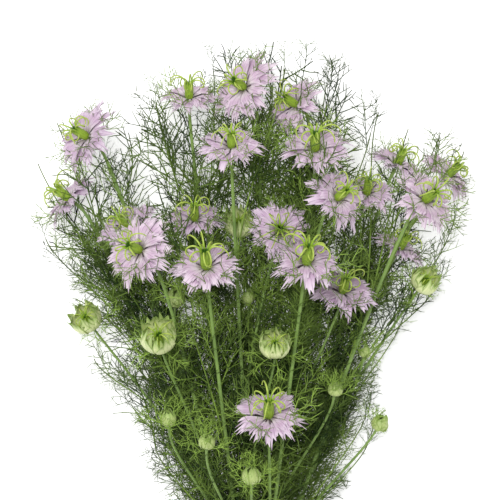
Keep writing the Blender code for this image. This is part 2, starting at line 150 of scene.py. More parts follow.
# Leafy shoots with no flower: stem, distance ahead where it leaves the stem, and the place of its tip.
SHOOTS = (
    (6, 0.300, (0.014, 0.437, 0.040)),
    (6, 0.280, (-0.012, 0.431, 0.030)),
    (8, 0.290, (0.050, 0.418, 0.052)),
    (8, 0.270, (0.034, 0.434, 0.070)),
    (4, 0.280, (-0.024, 0.440, 0.050)),
    (4, 0.260, (-0.062, 0.420, 0.040)),
    (1, 0.240, (-0.136, 0.330, 0.018)),
    (2, 0.220, (-0.100, 0.335, 0.050)),
    (11, 0.250, (0.130, 0.375, 0.035)),
    (12, 0.240, (0.116, 0.370, 0.060)),
    (10, 0.250, (0.078, 0.398, 0.080)),
    (12, 0.200, (0.130, 0.330, 0.040)),
    (12, 0.170, (0.100, 0.275, 0.035)),
    (12, 0.215, (0.124, 0.300, 0.028)),
    (1, 0.190, (-0.104, 0.250, 0.014)),
    (9, 0.190, (0.040, 0.345, 0.085)),
    (5, 0.170, (-0.045, 0.300, 0.085)),
    (12, 0.110, (0.076, 0.214, 0.050)),
    (12, 0.250, (0.084, 0.412, 0.055)),
    (12, 0.255, (0.104, 0.402, 0.045)),
    (11, 0.260, (0.126, 0.400, 0.030)),
    (11, 0.255, (0.142, 0.388, 0.025)),
    (1, 0.250, (-0.127, 0.406, 0.040)),
    (1, 0.235, (-0.141, 0.380, 0.020)),
    (3, 0.110, (-0.062, 0.192, 0.040)),
    (12, 0.110, (0.078, 0.196, 0.040)),
    (6, 0.310, (0.000, 0.437, 0.052)),
    (8, 0.300, (0.050, 0.431, 0.045)),
    (7, 0.300, (0.022, 0.440, 0.075)),
)
FIRST_LEAVES = BAND_Y + 0.022  # distance ahead of the lowest leaves
LOW_LEAVES = 0.23  # up to here the leaves are soft and close
HIGH_LEAVES = 0.40  # and from here they are wiry and sparse
LIT_HEIGHT = 0.085  # painted shade: soft leaves are painted darker the lower they lie in the bunch and lighter with their height, up to about this
LEAF_TURN = 2.4  # radians from each leaf or side thread to the next, round the stem or rib
# A frond's form: the share of its rib before the first side thread, how many there are, and their curl.
SOFT_LEAF = {"first": 0.04, "sides": 10, "curl": 1.3}
WIRY_LEAF = {"first": 0.12, "sides": 8, "curl": 0.45}
BRACT = {"first": 0.34, "sides": 8, "curl": 0.8}
FROND_SIZES = (1.0, 0.8, 0.64, 0.5, 0.36)  # tried in turn, until a frond fits
FACE_DEPTH = 0.030  # kept free of leaves before each flower and bud
BARE_ENDS = {"flower": 0.030, "opening": 0.014, "closed": 0.014}  # how far a stem has no leaves under it
LEAST_SHARE = 0.72  # a stem's leaves each keep to a share of the outline, from this to all of it
# A ruff: how many bracts, the least and the greatest angle that they stand off at, and their size.
RUFFS = {"flower": (6, 1.25, 1.50, 1.0), "opening": (6, 1.25, 1.85, 0.75), "closed": (9, 0.60, 1.40, 0.72)}
RUFF_WIDTH = 0.042  # of the flower whose bracts are full size
# How far left and right the threads reach, for each distance ahead.
OUTLINE = (
    (0.000, -0.035, 0.035),
    (0.100, -0.048, 0.046),
    (0.165, -0.066, 0.066),
    (0.180, -0.074, 0.072),
    (0.200, -0.080, 0.092),
    (0.225, -0.100, 0.090),
    (0.250, -0.112, 0.088),
    (0.275, -0.118, 0.112),
    (0.300, -0.124, 0.134),
    (0.330, -0.152, 0.144),
    (0.360, -0.154, 0.152),
    (0.395, -0.138, 0.146),
    (0.410, -0.132, 0.130),
    (0.425, -0.102, 0.088),
    (0.450, -0.054, 0.066),
    (0.470, -0.030, 0.045),
)

# A sepal's half width for each place along it, as a share of the flower's radius.
WIDTH_STEPS = (0.0, 0.12, 0.30, 0.55, 0.75, 0.90, 1.1)
HALF_WIDTHS = (0.030, 0.036, 0.13, 0.24, 0.27, 0.27, 0.26)
SEPAL_START = 0.0011  # its foot's distance from the flower's axis
# A carpel from its foot to where its style starts: distance from the axis, height and thickness, as shares.
CARPEL = (
    (0.34, 0.00, 0.75),
    (0.62, 0.10, 1.00),
    (0.76, 0.30, 1.12),
    (0.78, 0.52, 1.12),
    (0.80, 0.74, 0.98),
    (0.92, 0.92, 0.66),
)
# A bud's side from foot to tip: places along a sepal, and the distances out and heights there.
OPENING_PROFILE = (
    (0.0, 0.15, 0.35, 0.55, 0.72, 0.86, 1.0, 1.1),
    (0.10, 0.34, 0.48, 0.52, 0.51, 0.47, 0.42, 0.39),
    (0.0, 0.06, 0.20, 0.38, 0.56, 0.70, 0.86, 0.97),
)
CLOSED_PROFILE = (
    (0.0, 0.15, 0.35, 0.55, 0.72, 0.86, 1.0, 1.1),
    (0.10, 0.34, 0.46, 0.46, 0.36, 0.22, 0.10, 0.05),
    (0.0, 0.08, 0.26, 0.48, 0.70, 0.86, 0.99, 1.05),
)
STAMENS = 26  # in each flower
BAND_GAP = 0.0003  # between its turns
BAND_ROUNDING = 0.0004
FLOWER_HEIGHT = 0.07  # over the floor, where the view's width is measured


# --- Settings ---


def length(name, default, description):
    return FloatProperty(name=name, default=default, description=description, unit="LENGTH", precision=5)


def amount(name, default, description):
    return FloatProperty(name=name, default=default, description=description)


def colour(name, default, description):
    return FloatVectorProperty(name=name, default=default, description=description, subtype="COLOR", size=3)


class FlowerSettings(bpy.types.PropertyGroup):
    outer: IntProperty(name="Outer sepals", default=10, description="Sepals in a flower's outer ring")
    inner: IntProperty(name="Inner sepals", default=8, description="Sepals in a flower's inner ring")
    thickness: length("Thickness", 0.00022, "Thickness of a sepal")
    claw: colour("Claw", (0.30, 0.27, 0.20), "The sepal's narrow foot")
    blade: colour("Blade", (0.66, 0.47, 0.63), "The middle of the sepal")
    edge: colour("Edge", (0.80, 0.69, 0.77), "The sepal's edge and teeth")
    vein: colour("Vein", (0.36, 0.23, 0.35), "Fine lines along the sepal")
    stamen: colour("Stamens", (0.045, 0.015, 0.035), "The dark ring of stamens")


class PodSettings(bpy.types.PropertyGroup):
    carpels: IntProperty(name="Carpels", default=9, description="Ribs of a pod, each with one style")
    height: length("Height", 0.0138, "From a pod's foot to where the styles leave it")
    radius: length("Radius", 0.0034, "Of the pod at its fullest")
    carpel: length("Carpel", 0.0021, "Thickness of a carpel")
    style: length("Style", 0.0170, "Length of a style")
    body: colour("Body", (0.30, 0.46, 0.040), "The pod's ribs")
    # painted shade in the grooves between the ribs; the same dark green darkens the pod's foot and patches
    # of it
    groove_shade_and_dark_patches: colour("Groove", (0.045, 0.12, 0.012), "Between the ribs")
    tip: colour("Tip", (0.46, 0.58, 0.10), "The styles")


class StemSettings(bpy.types.PropertyGroup):
    light: colour("Light", (0.36, 0.52, 0.15), "The stem's ribs")
    dark: colour("Dark", (0.17, 0.30, 0.06), "Between the stem's ribs")


class LeafSettings(bpy.types.PropertyGroup):
    spacing: length("Spacing", 0.0045, "Between the leaves of a stem")
    thread: length("Thread", 0.00078, "Thickness of a leaf's rib")
    span: length("Span", 0.042, "Length of a leaf's rib")
    bract: length("Bract", 0.029, "Length of a bract's rib")
    # old and young threads; the dark colour is also painted shade deep in the bunch, the light one painted
    # light on its lit threads
    old_and_shaded: colour("Deep", (0.021, 0.047, 0.010), "Old threads")
    young_and_lit: colour("Fresh", (0.31, 0.47, 0.085), "Young threads")
    tip: colour("Tip", (0.045, 0.055, 0.020), "The ends of the threads")


class BudSettings(bpy.types.PropertyGroup):
    sepals: IntProperty(name="Sepals", default=11, description="Sepals round an opening bud")
    thickness: length("Thickness", 0.00025, "Thickness of an opening bud's sepals")
    shut_thickness: length("Shut thickness", 0.0003, "Thickness of a closed bud's sepals")
    pale: colour("Pale", (0.76, 0.82, 0.42), "The bud's sepals")
    shut: colour("Shut", (0.50, 0.60, 0.22), "The sepals of a closed bud")
    green: colour("Green", (0.30, 0.44, 0.10), "The bud's foot, veins and teeth")


class BandSettings(bpy.types.PropertyGroup):
    turns: IntProperty(name="Turns", default=2, description="Turns of the band round the stems")
    wall: length("Wall", 0.0013, "Thickness of the band's rubber")
    rubber: colour("Rubber", (0.52, 0.36, 0.18), "The band")


class StageSettings(bpy.types.PropertyGroup):
    floor: colour("Floor", (0.92, 0.92, 0.92), "The pale floor")
    glow: amount("Glow", 0.45, "Light that the floor gives, as a lit backdrop does")
    height: length("Camera height", 2.27, "Of the camera over the floor")
    width: length("View width", 0.325, "What the camera sees across, at the flowers")
    ahead: length("Ahead", 0.2525, "The view's middle from the band")
    sky: amount("Sky", 0.55, "Strength of the soft light from all round")
    lamp: amount("Lamp", 50.0, "Power of the large soft lamp, in watts")


# --- Making and copying meshes ---


def select_only(*objects):
    bpy.ops.object.select_all(action="DESELECT")
    for obj in objects:
        obj.select_set(True)
    bpy.context.view_layer.objects.active = objects[0]


def edit_all(*steps):
    """Runs edit-mode steps on the whole active mesh."""
    bpy.ops.object.mode_set(mode="EDIT")
    bpy.ops.mesh.select_all(action="SELECT")
    for step in steps:
        step()
    bpy.ops.object.mode_set(mode="OBJECT")


def merge_doubles():
    bpy.ops.mesh.remove_doubles(threshold=0.000001)


def face_outwards():
    bpy.ops.mesh.normals_make_consistent(inside=False)


def apply_modifier(obj, kind, **settings):
    select_only(obj)
    modifier = obj.modifiers.new(kind.title(), kind)
    for key, value in settings.items():
        setattr(modifier, key, value)
    bpy.ops.object.modifier_apply(modifier=modifier.name)


def section(thickness, sides):
    """A flat ring, run clockwise, that a curve carries along itself: the tube's faces then point out."""
    ring = bpy.data.curves.new("section", "CURVE")
    ring.dimensions = "2D"
    spline = ring.splines.new("POLY")
    spline.points.add(sides - 1)
    for k, corner in enumerate(spline.points):
        turn = -math.tau * k / sides
        corner.co = (thickness / 2 * math.cos(turn), thickness / 2 * math.sin(turn), 0.0, 1.0)
    spline.use_cyclic_u = True
    obj = bpy.data.objects.new("section", ring)
    bpy.context.scene.collection.objects.link(obj)
    return obj


def tubes(name, routes, thickness, sides=3):
    """Closed tubes along routes of (point, share of the thickness). Their UV runs along and round them."""
    curve = bpy.data.curves.new(name, "CURVE")
    curve.dimensions = "3D"
    curve.bevel_mode = "OBJECT"
    curve.bevel_object = section(thickness, sides)
    curve.use_fill_caps = True
    for route in routes:
        spline = curve.splines.new("POLY")
        spline.points.add(len(route) - 1)
        for corner, (point, share) in zip(spline.points, route):
            corner.co = (*point, 1.0)
            corner.radius = share
    obj = bpy.data.objects.new(name, curve)
    bpy.context.scene.collection.objects.link(obj)
    select_only(obj)
    ring = curve.bevel_object
    bpy.ops.object.convert(target="MESH")
    bpy.data.objects.remove(ring)
    obj = bpy.context.object
    edit_all(merge_doubles)
    return obj


Shape = namedtuple("Shape", "points corners starts totals uv")


def values_of(items, key, kind, width=1):
    """One property of all of a mesh's points, corners or faces."""
    values = np.empty(len(items) * width, kind)
    items.foreach_get(key, values)
    return values


def shape_of(obj):
    """A mesh as arrays, to be copied from. The object itself is removed."""
    mesh = obj.data
    points = values_of(mesh.vertices, "co", float, 3)
    corners = values_of(mesh.loops, "vertex_index", int)
    starts = values_of(mesh.polygons, "loop_start", int)
    totals = values_of(mesh.polygons, "loop_total", int)
    uv = np.zeros(len(mesh.loops) * 2)
    if mesh.uv_layers:
        mesh.uv_layers[0].data.foreach_get("uv", uv)
    bpy.data.objects.remove(obj)
    bpy.data.meshes.remove(mesh)
    return Shape(points.reshape(-1, 3), corners, starts, totals, uv.reshape(-1, 2))


def placed(points, matrix):
    """Points as a matrix moves them."""
    turned = np.array(matrix.to_3x3())
    return points @ turned.T + np.array(matrix.translation)


def mesh_from(name, copies):
    """One mesh object from (shape, its moved points, its shade) copies."""
    if not copies:
        raise RuntimeError(f"{name} has nothing in it")
    points, corners, starts, uvs, shades = [], [], [], [], []
    totals = np.concatenate([shape.totals for shape, _, _ in copies])
    first_point = first_corner = 0
    for shape, moved, shade in copies:
        points.append(moved)
        corners.append(shape.corners + first_point)
        starts.append(shape.starts + first_corner)
        uvs.append(shape.uv)
        shades.append(np.full(len(moved), shade))
        first_point += len(moved)
        first_corner += len(shape.corners)
    mesh = bpy.data.meshes.new(name)
    mesh.vertices.add(first_point)
    mesh.loops.add(first_corner)
    mesh.polygons.add(len(totals))
    mesh.vertices.foreach_set("co", np.concatenate(points).ravel())
    mesh.loops.foreach_set("vertex_index", np.concatenate(corners))
    mesh.polygons.foreach_set("loop_start", np.concatenate(starts))
    mesh.polygons.foreach_set("loop_total", totals)
    mesh.uv_layers.new(name="UVMap").data.foreach_set("uv", np.concatenate(uvs).ravel())
    mesh.attributes.new("shade", "FLOAT", "POINT").data.foreach_set("value", np.concatenate(shades))
    mesh.update(calc_edges=True)
    mesh.validate()
    obj = bpy.data.objects.new(name, mesh)
    bpy.context.scene.collection.objects.link(obj)
    return obj


def finish_piece(obj, material, replaced=(), smooth=60.0):
    """Shades a piece smooth up to an angle, gives it its material and fixes it to the frame."""
    select_only(obj)
    bpy.ops.object.shade_smooth_by_angle(angle=math.radians(smooth))
    obj.data.materials.clear()
    obj.data.materials.append(material)
    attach(obj, "root")
    if replaced:
        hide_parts(*replaced)


def in_outline(points, share):
    """Whether points keep to a share of the bunch's outline, and to the frame's box with its allowance."""
    allowance = np.array(CAD_BOX[1] - CAD_BOX[0]) * BOX_SHARE
    low, high = np.array(CAD_BOX[0]) - allowance, np.array(CAD_BOX[1]) + allowance
    low[2] = -1.0  # what is under the floor is laid on it afterwards
    if (points.min(axis=0) < low).any() or (points.max(axis=0) > high).any():
        return False
    ahead, left, right = np.array(OUTLINE).T
    middle = at((0.0, 0.0, 0.0))
    x, y = points[:, 0] - middle.x, points[:, 1] - middle.y
    return (x > np.interp(y, ahead, left) * share).all() and (x < np.interp(y, ahead, right) * share).all()


def off_floor(points):
    """Points with those under the floor laid on it."""
    points = points.copy()
    points[:, 2] = np.maximum(points[:, 2], FLOOR_CLEAR)
    return points


# --- Layout ---


def at(place):
    """A place of the layout in the frame."""
    return Vector(place) + BAND_MIDDLE - Vector((0.0, BAND_Y, BAND_HEIGHT))


def facing(head, turn=0.0):
    """The matrix that stands a shape made along +Z on a stem's head."""
    look = Vector(head.faces).normalized().to_track_quat("Z", "Y").to_matrix().to_4x4()
    return Matrix.Translation(at(head.place)) @ look @ Matrix.Rotation(turn, 4, "Z")


def bezier(a, b, c, d, steps):
    """The points of a curve from a to d, which b and c pull to their side."""
    points = []
    for i in range(steps + 1):
        share = i / steps
        rest = 1.0 - share
        point = a * rest**3 + b * (3 * rest * rest * share)
        points.append(point + c * (3 * rest * share * share) + d * share**3)
    return points


def neck_of(head):
    """The end of the stem under a head, the start of its straight last part, and the way that it faces."""
    face = Vector(head.faces).normalized()
    end = at(head.place) + face * HEAD_LIFTS[head.kind]
    return end, end - face * NECK_END, face


def main_line(head):
    """A stem from its cut end, through the band, to its head."""
    across, upward = SLOTS[head.stem]
    in_band = at((across, BAND_Y, BAND_HEIGHT + upward))
    cut_y = CUT_STEP * (head.stem * 5 % 4)
    cut = at((across * CUT_SPREAD, cut_y, BAND_HEIGHT + upward * CUT_SPREAD))
    end, bend, face = neck_of(head)
    ahead = Vector((0.0, 1.0, 0.0))
    reach = (end - in_band).length
    first, last = cut.lerp(in_band, CUT_SHARE), in_band - ahead * STRAIGHT_BELOW
    below = bezier(cut, first, last, in_band, 8)[:-1]
    first, last = in_band + ahead * MAIN_SHARE * reach, bend - face * NECK
    return below + bezier(in_band, first, last, bend, 48) + [end]


def fork_on(parent, ahead):
    """The point of a stem's line at a distance ahead, and the way that the stem runs there."""
    fork_y = at((0.0, ahead, 0.0)).y
    near = min(range(len(parent)), key=lambda i: abs(parent[i].y - fork_y))
    return parent[near], (parent[near + 1] - parent[near - 1]).normalized()


def branch_line(head, parent):
    """A branch from its stem to its head."""
    fork, along = fork_on(parent, head.fork)
    end, bend, face = neck_of(head)
    reach = (end - fork).length
    first = fork + along * FORK_SHARE * reach
    last = bend - face * min(NECK, FORK_SHARE * reach)
    return bezier(fork, first, last, bend, 40) + [end]


def stem_lines():
    """For each stem, its heads with their lines: the main one first, then its branches."""
    stems = {}
    for head in HEADS:
        if head.fork is None:
            stems[head.stem] = [(head, main_line(head))]
        else:
            stems[head.stem].append((head, branch_line(head, stems[head.stem][0][1])))
    return stems


def heads_of(kind):
    return sorted((head for head in HEADS if head.kind == kind), key=lambda head: head.number)


# --- Materials ---


class Look:
    """A material, with short ways to add the nodes that the looks are made of."""

    def __init__(self, name, **sockets):
        self.material = bpy.data.materials.new(name)
        self.material.use_nodes = True
        self.tree = self.material.node_tree
        self.shader = self.tree.nodes["Principled BSDF"]
        for key, value in sockets.items():
            self.shader.inputs[key.replace("_", " ")].default_value = value

    def node(self, kind, inputs=(), **settings):
        """A new node. An input is a value, or an output that is linked to it."""
        node = self.tree.nodes.new(kind)
        for key, value in settings.items():
            setattr(node, key, value)
        for key, value in dict(inputs).items():
            if isinstance(value, bpy.types.NodeSocket):
                self.tree.links.new(value, node.inputs[key])
            else:
                node.inputs[key].default_value = value
        return node

    def object_noise(self, scale, detail=2.0):
        place = self.node("ShaderNodeTexCoord").outputs["Object"]
        noise = self.node("ShaderNodeTexNoise", {"Vector": place, "Scale": scale, "Detail": detail})
        return noise.outputs["Fac"]

    def grain(self, along, across, long, fine, detail):
        """Fine lines along a sepal."""
        place = {"X": self.math("MULTIPLY", along, long), "Y": self.math("MULTIPLY", across, fine)}
        place = self.node("ShaderNodeCombineXYZ", place).outputs[0]
        noise = self.node("ShaderNodeTexNoise", {"Vector": place, "Scale": 1.0, "Detail": detail})
        return noise.outputs["Fac"]

    def along_and_round(self):
        """The piece's UV: along its length, and across or round it."""
        split = self.node("ShaderNodeSeparateXYZ", {"Vector": self.node("ShaderNodeUVMap").outputs["UV"]})
        return split.outputs["X"], split.outputs["Y"]

    def shade(self):
        return self.node("ShaderNodeAttribute", attribute_name="shade").outputs["Fac"]

    def math(self, operation, a, b=0.0, clamp=False):
        node = self.node("ShaderNodeMath", {0: a, 1: b}, operation=operation, use_clamp=clamp)
        return node.outputs["Value"]

    def smooth(self, value, low, high, out_low=0.0, out_high=1.0):
        """A soft step from one value to another."""
        inputs = {"Value": value, "From Min": low, "From Max": high, "To Min": out_low, "To Max": out_high}
        node = self.node("ShaderNodeMapRange", inputs, interpolation_type="SMOOTHSTEP")
        return node.outputs["Result"]

    def mix(self, share, a, b, blend="MIX"):
        a, b = (value if isinstance(value, bpy.types.NodeSocket) else (*value, 1.0) for value in (a, b))
        node = self.node("ShaderNodeMix", {0: share, 6: a, 7: b}, data_type="RGBA", blend_type=blend)
        return node.outputs[2]

    def ramp(self, value, *stops):
        node = self.node("ShaderNodeValToRGB", {"Fac": value})
        elements = node.color_ramp.elements
        for place, _ in stops[2:]:
            elements.new(place)
        for element, (place, tint) in zip(elements, stops):
            element.position = place
            element.color = (*tint, 1.0)
        return node.outputs["Color"]

    def paint(self, tint):
        self.tree.links.new(tint, self.shader.inputs["Base Color"])

    def relief(self, height, distance, strength=0.6):
        bump = self.node("ShaderNodeBump", {"Height": height, "Distance": distance, "Strength": strength})
        self.tree.links.new(bump.outputs["Normal"], self.shader.inputs["Normal"])


def sepal_look(flower):
    """Lilac-pink sepals with fine veins, paler edges and a dull foot, cooler in some flowers."""
    look = Look("sepal", Roughness=0.55, Sheen_Weight=0.15)
    along, across = look.along_and_round()
    claw, blade, edge, vein = (tuple(c) for c in (flower.claw, flower.blade, flower.edge, flower.vein))
    foot = (0.05, 0.02, 0.03)
    base = look.ramp(along, (0.0, foot), (0.14, claw), (0.30, edge), (0.55, blade), (1.0, edge))
    cooler = look.mix(0.55, base, (0.62, 0.52, 0.76), "MULTIPLY")
    base = look.mix(look.smooth(look.shade(), 0.3, 1.0, 0.0, 0.45), base, cooler)
    off_middle = look.math("ABSOLUTE", look.math("SUBTRACT", across, 0.5))
    base = look.mix(look.smooth(off_middle, 0.30, 0.5, 0.0, 0.55), base, edge)
    lines = look.grain(along, across, 1.8, 15.0, 3.0)
    veins = look.smooth(lines, 0.45, 0.66, 0.0, 0.85)
    look.paint(look.mix(veins, base, vein))
    look.relief(lines, 0.0003)
    return look.material


def pod_look(pod):
    """Green carpels with painted shade in the grooves between them, darker at the foot and in patches, that
    pale into the styles.
    """
    look = Look("pod", Roughness=0.42, Specular_IOR_Level=0.4)
    along, _ = look.along_and_round()
    body, groove_shade_and_dark_patches, tip = tuple(pod.body), tuple(pod.groove_shade_and_dark_patches), tuple(pod.tip)
    tint = look.ramp(along, (0.0, groove_shade_and_dark_patches), (0.08, body), (0.36, body), (0.50, tip), (1.0, tip))
    tint = look.mix(look.smooth(look.object_noise(500.0), 0.4, 0.75, 0.0, 0.35), tint, groove_shade_and_dark_patches)
    # painted shade: points that lie deep in the grooves between the carpels are painted dark
    look.paint(look.mix(look.smooth(look.shade(), 0.05, 0.75), groove_shade_and_dark_patches, tint))
    return look.material


def stamen_look(flower):
    """Dark threads with a few paler specks."""
    look = Look("stamen", Roughness=0.6)
    along, _ = look.along_and_round()
    dark, pale = tuple(flower.stamen), (0.12, 0.10, 0.09)
    tint = look.mix(look.smooth(look.object_noise(700.0), 0.45, 0.7), dark, pale)
    look.paint(look.mix(look.smooth(along, 0.6, 1.0, 0.0, 0.6), tint, dark))
    return look.material


def thread_look(name, leaf, freshness):
    """Thread leaves: fresher or older by patches, and by each leaf's own shade value, which also holds
    painted shade deep in the bunch. The dark end of the mix is partly painted shade and the light end partly
    painted light.
    """
    look = Look(name, Roughness=0.6, Specular_IOR_Level=0.12)
    along, _ = look.along_and_round()
    patches = look.smooth(look.object_noise(26.0), 0.3, 0.7, -0.25, 0.25)
    # the shade value holds a random tone, with painted shade on the soft leaves that lie low
    age_and_shade = look.math("ADD", look.math("ADD", look.shade(), patches), freshness, clamp=True)
    tint = look.mix(age_and_shade, tuple(leaf.old_and_shaded), tuple(leaf.young_and_lit))
    look.paint(look.mix(look.smooth(along, 0.5, 1.0, 0.0, 0.6), tint, tuple(leaf.tip)))
    return look.material


def stem_look(stem):
    """Fine ribs along the stem, with darker patches."""
    look = Look("stem", Roughness=0.48, Specular_IOR_Level=0.4)
    along, round_it = look.along_and_round()
    ribs = look.math("COSINE", look.math("MULTIPLY", round_it, math.tau * 9))
    tint = look.mix(look.smooth(ribs, -0.8, 0.8), tuple(stem.dark), tuple(stem.light))
    patches = look.smooth(look.object_noise(60.0, 4.0), 0.4, 0.7, 0.0, 0.5)
    tint = look.mix(patches, tint, (0.13, 0.22, 0.06))
    look.paint(look.mix(look.smooth(along, 0.9, 1.0, 0.0, 0.35), tint, (0.30, 0.42, 0.14)))
    look.relief(ribs, 0.0002)
    return look.material


def bud_look(name, bud, main):
    """Veined sepals, green at their foot and teeth."""
    look = Look(name, Roughness=0.5)
    along, across = look.along_and_round()
    pale, green = tuple(main), tuple(bud.green)
    tint = look.ramp(along, (0.0, green), (0.25, pale), (0.72, pale), (1.0, green))
    lines = look.grain(along, across, 1.5, 16.0, 2.0)
    look.paint(look.mix(look.smooth(lines, 0.5, 0.68, 0.0, 0.6), tint, green))
    look.relief(lines, 0.0003)
    return look.material


def band_look(band):
    """Tan rubber with darker specks."""
    look = Look("rubber", Roughness=0.62)
    speckle = look.object_noise(420.0, 4.0)
    rubber = tuple(band.rubber)
    look.paint(look.mix(look.smooth(speckle, 0.4, 0.7, 0.0, 0.35), rubber, tuple(c * 0.62 for c in rubber)))
    look.relief(speckle, 0.0002, 0.4)
    return look.material


# --- Threads ---


def thread(start, way, reach, bend, steps, thick, thin):
    """A route that grows from a start and bends as it goes, from a thick end to a thin one."""
    route, point = [], start
    for i in range(steps + 1):
        route.append((point, thick + (thin - thick) * i / steps))
        way = (way + bend / steps).normalized()
        point = point + way * (reach / steps)
    return route


def way_along(route, share):
    """The point at a share of a route, and the way that it runs there."""
    place = share * (len(route) - 1)
    i = min(int(place), len(route) - 2)
    a, b = route[i][0], route[i + 1][0]
    return a.lerp(b, place - i), (b - a).normalized()


def sideways(way, turn, spread):
    """A way that leaves another one at an angle, in a turn round it."""
    out = way.orthogonal().normalized()
    out.rotate(Matrix.Rotation(turn, 3, way))
    return (way * math.cos(spread) + out * math.sin(spread)).normalized()


def frond_routes(dice, span, first, sides, curl):
    """One thread leaf along +Z, bending towards +X: a rib with side threads that fork twice."""
    bend = Vector((dice.uniform(0.2, 0.9), dice.uniform(-0.4, 0.4), 0.0))
    rib = thread(Vector(), Vector((0.0, 0.0, 1.0)), span, bend, 5, 1.0, 0.6)
    routes = [rib]
    turn = dice.uniform(0.0, math.tau)
    for k in range(sides):
        share = first + (0.92 - first) * (k + 0.5) / sides
        point, way = way_along(rib, share)
        turn += LEAF_TURN + dice.uniform(-0.5, 0.5)
        reach = span * dice.uniform(0.34, 0.58) * (1.2 - 0.60 * share)
        swerve = way * 0.5 * curl + way.orthogonal() * dice.uniform(-1.0, 1.0) * curl
        side = thread(point, sideways(way, turn, dice.uniform(0.7, 1.1)), reach, swerve, 3, 0.85, 0.5)
        routes.append(side)
        for fork in range(2):
            point_2, way_2 = way_along(side, dice.uniform(0.2, 0.5) + 0.35 * fork)
            end = sideways(way_2, dice.uniform(0.0, math.tau), dice.uniform(0.6, 1.0))
            bend = way_2.orthogonal() * dice.uniform(-1.0, 1.0) * curl
            routes.append(thread(point_2, end, reach * dice.uniform(0.45, 0.75), bend, 2, 0.75, 0.45))
    return routes


def frond_shapes(seed, count, thickness, span, form):
    """A set of unlike fronds, to be copied from."""
    shapes = []
    for k in range(count):
        routes = frond_routes(random.Random(seed + k), span, **form)
        shapes.append(shape_of(tubes("frond", routes, thickness)))
    return shapes


def leaning(point, along, turn, angle, size):
    """The matrix that stands a frond on a stem, leaning off it and bending back along it."""
    up = sideways(along, turn, angle)
    bend = along - up * along.dot(up)
    if bend.length < 0.05:
        bend = up.orthogonal()
    bend.normalize()
    basis = Matrix((bend, up.cross(bend), up)).transposed().to_4x4()
    return Matrix.Translation(point) @ basis @ Matrix.Scale(size, 4)


def hides_a_head(points, heads):
    """Whether any point stands before the face of a flower or bud, or over it as it lies."""
    for foot, face, radius in heads:
        offset = points - foot
        height = offset @ face
        aside = np.linalg.norm(offset - np.outer(height, face), axis=1)
        over = (offset[:, 2] > 0.0) & (np.hypot(offset[:, 0], offset[:, 1]) < radius * 0.8)
        if (over | ((height > 0.0) & (height < FACE_DEPTH) & (aside < radius * 0.9))).any():
            return True
    return False


def head_faces():
    """The foot, the face and the radius of each flower and bud."""
    heads = []
    for head in HEADS:
        heads.append((np.array(at(head.place)), np.array(Vector(head.faces).normalized()), head.width / 2))
    return heads


def shoot_line(parent, fork_ahead, tip):
    """A thin shoot from a stem to its tip."""
    fork, along = fork_on(parent, fork_ahead)
    reach = (tip - fork).length
    first, last = fork + along * 0.4 * reach, tip - along * 0.2 * reach
    return bezier(fork, first, last, tip, 24)


def leaf_out(copies, shapes, line, bare, spacing, dice, heads, least_share):
    """Sets fronds along a line above the band, with its last stretch left bare.

    Low on the bunch they are soft and stand close, and they leave the stem's upper side in view. High up
    more and more of them are wiry, sparse and darker. Each keeps to its own share of the outline.
    """
    soft, wiry = shapes
    start, low_down, high_up = (at((0.0, ahead, 0.0)).y for ahead in (FIRST_LEAVES, LOW_LEAVES, HIGH_LEAVES))
    total = sum((b - a).length for a, b in zip(line, line[1:]))
    distance, turn, walked = dice.uniform(0.0, spacing), dice.uniform(0.0, math.tau), 0.0
    for a, b in zip(line, line[1:]):
        step = (b - a).length
        while distance < walked + step:
            point = a.lerp(b, (distance - walked) / step)
            high = min(max((point.y - low_down) / (high_up - low_down), 0.0), 1.0)
            if point.y > start and total - distance > bare:
                lean = dice.uniform(0.35, 0.95 + 0.2 * high)
                size = dice.uniform(0.7, 1.15) * (1.0 + 0.1 * high)
                matrix = leaning(point, (b - a).normalized(), turn, lean, size)
                shape, shade = dice.choice(soft), dice.random() ** 1.3 * (0.70 + 0.9 * high)
                # painted shade: soft leaves low over the floor, deep in the bunch, are painted darker
                shade *= min(0.25 + point.z / LIT_HEIGHT, 1.3)
                if dice.random() < high:
                    shape, shade = dice.choice(wiry), dice.uniform(0.3 - 0.25 * high, 1.2 - 1.0 * high)
                if matrix.col[2].z / size < 0.25 + 1.1 * high:
                    set_out(copies, shape, matrix, shade, heads, dice.uniform(least_share, 1.0))
            turn += LEAF_TURN
            distance += spacing * dice.uniform(0.7, 1.0) * (0.80 + 0.35 * high + 0.95 * high**3)
        walked += step


def set_out(copies, shape, matrix, shade, heads=(), share=1.0):
    """Adds a copy of a frond, made smaller until it keeps to its outline and off the heads' faces."""
    for size in FROND_SIZES:
        points = placed(shape.points, matrix @ Matrix.Scale(size, 4))
        if in_outline(points, share) and not hides_a_head(points, heads):
            copies.append((shape, off_floor(points), shade))
            return


# --- Sepals ---


def sepal_blank(teeth, rows):
    """A flat grid whose X runs from foot to teeth and whose Y runs across, both from 0 to 1 in its UV."""
    bpy.ops.object.select_all(action="DESELECT")
    bpy.ops.mesh.primitive_grid_add(x_subdivisions=rows, y_subdivisions=2 * teeth, size=1.0, calc_uvs=True)
    blank = bpy.context.object
    blank.data.transform(Matrix.Translation((0.5, 0.0, 0.0)))
    return shape_of(blank)


